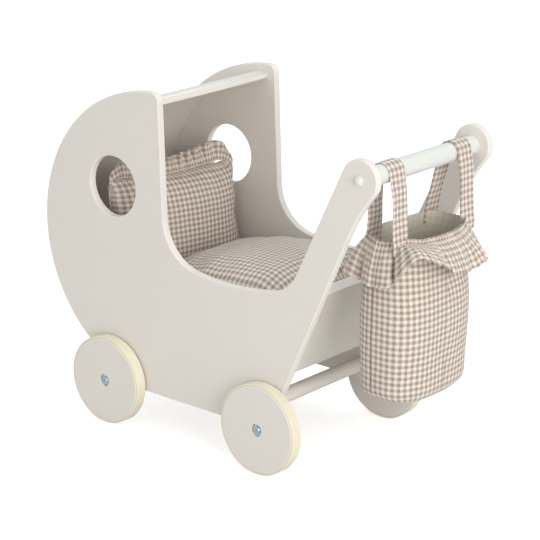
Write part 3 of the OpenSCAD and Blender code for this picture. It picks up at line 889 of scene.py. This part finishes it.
def makeBagSkin(name, finish, grow, replaced):
    b = bag
    count, r = b["around"], b["floorCurve"]
    rows = []    # (height on the wall, share of the ring's size)
    for i in range(7):
        t = pi / 2 * i / 6
        rows.append((b["low"] + r * (1 - cos(t)), 1 - (1 - sin(t)) * 0.30))
    levels = 30
    for i in range(1, levels + 1):
        rows.append((b["low"] + r + (b["rim"] - b["low"] - r) * i / levels, 1.0))
    points, cloth, down, last = [], [], 0.0, None
    for z, k in rows:
        xs, ys, nx, ny, around = bagRing(max(z, b["low"] + r), count, 0)
        top = smoothStep(z, 0.27, b["rim"])
        ring = []
        for i in range(count):
            s = i / count
            if k < 1:
                spot = Vector((b["middle"] + xs[i] * k + nx[i] * grow * k, ys[i] * k + ny[i] * grow * k,
                               z - grow * (1 - (z - b["low"]) / r)))
            else:
                spot = bagPoint(xs[i], ys[i], nx[i], ny[i], z, s, grow)
            spot.z += rimLift(xs[i], ys[i]) * top
            if abs(z - (b["low"] + 0.0045)) < 0.002:
                spot -= Vector((nx[i], ny[i], -0.5)) * 0.0012    # seam round the bottom
            ring.append(spot)
        if last:
            down += (ring[0] - last[0]).length
        last = ring
        for i, spot in enumerate(ring):
            points.append(spot)
            cloth.append((around * i / count, 0.4 + down))
    faces = gridFaces(len(rows), count, True)
    side = count // 4    # the floor is a square grid stretched between four quarters of the lowest ring
    edge = lambda i: points[(i + side // 2) % count]
    index = {}
    for u in range(side + 1):
        for v in range(side + 1):
            if u in (0, side) or v in (0, side):
                walk = v if u == 0 else side + u if v == side else 3 * side - v if u == side else -u
                index[(u, v)] = (walk + side // 2) % count
                continue
            a, c = u / side, v / side
            west, east, south, north = edge(v), edge(3 * side - v), edge(-u), edge(side + u)
            corners = (edge(0) * (1 - a) * (1 - c) + edge(side) * (1 - a) * c
                       + edge(2 * side) * a * c + edge(3 * side) * a * (1 - c))
            spot = west * (1 - a) + east * a + south * (1 - c) + north * c - corners
            spot.z -= 0.0035 * sin(pi * a) * sin(pi * c) - 0.0012 * noise.noise((spot.x * 30, spot.y * 30, 4))
            index[(u, v)] = len(points)
            points.append(spot)
            cloth.append((spot.x, spot.y))
    for u in range(side):
        for v in range(side):
            faces.append((index[(u, v)], index[(u + 1, v)], index[(u + 1, v + 1)], index[(u, v + 1)]))
    mesh = clothMesh(name, points, faces, cloth, 0.45)
    for polygon in mesh.polygons[-side * side:]:
        for i in polygon.loop_indices:
            mesh.uv_layers["cloth"].data[i].uv = points[mesh.loops[i].vertex_index].xy
    return link(mesh, name, finish, "bag", replaced), mesh


def makeBag():
    shell, mesh = makeBagSkin("bag_cloth", "gingham", 0.0, ("bag_shell",))
    thicken(shell, 0.0010)
    refine(shell)
    inner, mesh = makeBagSkin("bag_inner", "liningCloth", -0.0022, ("bag_lining",))
    thicken(inner, 0.0008)
    refine(inner)


def makeBagSeam(name, end):
    # the joined edges show as a thin raised line down the end of the bag
    b, count, sides = bag, bag["around"], welt["sides"]
    foot = b["low"] + b["floorCurve"]
    ring, turn = [], []
    for k in range(welt["rows"]):
        z = foot + (b["rim"] - welt["belowRim"] - foot) * k / (welt["rows"] - 1)
        xs, ys, nx, ny, _ = bagRing(z, count)
        i = min(range(count), key=lambda j: abs(xs[j] - b["sideSeam"]) + (0 if ys[j] * end > 0 else 1))
        ring.append(bagPoint(xs[i], ys[i], nx[i], ny[i], z, i / count, welt["proud"]))
        turn.append(Vector((nx[i], ny[i], 0)))
    points, cloth = [], []
    for spot, out in zip(ring, turn):
        across = Vector((-out.y, out.x, 0))
        for j in range(sides):
            a = 2 * pi * j / sides
            points.append(spot + across * welt["halfWidth"] * cos(a) + out * welt["rise"] * sin(a))
            cloth.append((0.0022 + 0.0003 * cos(a), spot.z))
    mesh = clothMesh(name, points, gridFaces(len(ring), sides, True), cloth)
    mesh.materials.clear()
    capped = bmesh.new()
    capped.from_mesh(mesh)
    bmesh.ops.holes_fill(capped, edges=[e for e in capped.edges if e.is_boundary], sides=sides)
    capped.to_mesh(mesh)
    capped.free()
    link(mesh, name, "seamCloth", "bag")


def makeBagFrill():
    f, count, rows = frill, 420, 18
    z0 = bag["rim"] - f["below"]
    xs, ys, nx, ny, around = bagRing(z0, count)
    hangs = [(curve(i / count, f["drop"]), curve(i / count, f["swing"])) for i in range(count)]
    points, cloth = [], []
    for r in range(-2, rows + 1):
        t = max(0, r) / rows
        up = f["header"] * max(0, -r) / 2
        for i in range(count):
            s = i / count
            drop, swing = hangs[i]
            spot = bagPoint(xs[i], ys[i], nx[i], ny[i], z0 + up, s)
            spot.z += rimLift(xs[i], ys[i])
            out = fall = 0.0    # the cloth leaves the seam high and droops towards the hem
            for k in range(max(0, r)):
                angle = min(1.62, swing * (1.32 - 0.62 * k / rows) + 0.35 * exp(-k / 1.6))
                out += drop / rows * sin(angle)
                fall += drop / rows * cos(angle)
            puckers = 0.0010 * exp(-t * 6) * sin(2 * pi * s * around / 0.0066
                                                 + 3 * noise.noise((s * 40, 2, 0)))
            pleats = 0.0013 * sin(2 * pi * s * around / 0.0135 + 4 * noise.noise((s * 22, 5, 0)))
            creases = 0.0024 * t * noise.fractal((s * 46, t * 1.6, 7), 0.8, 2.0, 2)
            fine = pleats * min(1, t * 2.5) + creases
            out += 0.0012 + puckers + fine * min(1, 0.4 + swing * 2)
            spot += Vector((nx[i], ny[i], 0)) * out
            spot.z -= fall
            points.append(spot)
            cloth.append((0.1 + s * around * f["gather"], 0.9 + drop * t - up))
    mesh = clothMesh("bag_frill", points, gridFaces(rows + 3, count, True), cloth, around * f["gather"])
    piece = link(mesh, "bag_frill", "gingham", "bag", ("bag_ruffle",))
    thicken(piece, 0.0008, -1.0)
    refine(piece)


def makeStrap(name, frontY, barY, backY, node, seed):
    p = straps
    bar = Vector((bag["middle"], 0, (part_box("handlebar")[0][2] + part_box("handlebar")[1][2]) / 2))
    r, rim = p["barRadius"] + p["thick"] / 2, bag["rim"]
    path = []    # (x, z) along the strap from inside the front of the rim, over the bar, to the back
    front, back = bar.x + p["rimFront"], bar.x + p["rimBack"]
    for i in range(8):
        path.append((front + 0.001, rim - p["tuck"] + p["tuck"] * i / 8))
    for i in range(22):
        t = i / 22
        path.append((front + (bar.x + r - front) * t + 0.0012 * sin(pi * t), rim + (bar.z - rim) * t))
    for i in range(25):
        a = pi * i / 24
        path.append((bar.x + r * cos(a), bar.z + r * sin(a)))
    for i in range(1, 23):
        t = i / 22
        path.append((bar.x - r + (back - bar.x + r) * t - 0.002 * sin(pi * t), bar.z + (rim - bar.z) * t))
    for i in range(1, 9):
        path.append((back - 0.001, rim - p["tuck"] * i / 8))
    points, cloth, walked, across = [], [], 0.0, 10
    for k, (x, z) in enumerate(path):
        if k:
            walked += hypot(x - path[k - 1][0], z - path[k - 1][1])
        x0, z0 = path[max(0, k - 1)]
        x1, z1 = path[min(len(path) - 1, k + 1)]
        size = hypot(x1 - x0, z1 - z0)
        nx, nz = (z1 - z0) / size, -(x1 - x0) / size
        share = smoothStep(z, rim, bar.z - 0.01)
        footY = frontY if x > bar.x else backY
        y0 = footY + (barY - footY) * share
        free = share * (1 - share) * 4
        for j in range(across + 1):
            c = 2 * j / across - 1
            narrow = 1 - 0.06 * free
            bow = -0.0014 * free * (1 - c * c) + 0.0011 * free * noise.noise((walked * 30, c * 1.2, seed))
            wave = 0.0010 * noise.noise((walked * 22, 5, seed))
            points.append(Vector((x + nx * bow, y0 + wave + c * p["width"] / 2 * narrow, z + nz * bow)))
            cloth.append((seed * 0.013 + c * p["width"] / 2, walked))
    mesh = clothMesh(name, points, gridFaces(len(path), across + 1), cloth)
    piece = link(mesh, name, "gingham", "bag", (node,))
    thicken(piece, p["thick"])
    edge = piece.modifiers.new("edge", "BEVEL")
    edge.width, edge.segments, edge.limit_method = 0.0007, 2, "ANGLE"
    refine(piece)


makeBag()
makeBagSeam("bag_seam_near", -1)
makeBagSeam("bag_seam_far", 1)
makeBagFrill()
makeStrap("bag_strap_cloth_near", *straps["near"], "bag_strap_right", 1.0)
makeStrap("bag_strap_cloth_far", *straps["far"], "bag_strap_left", 2.0)
print("bag made")
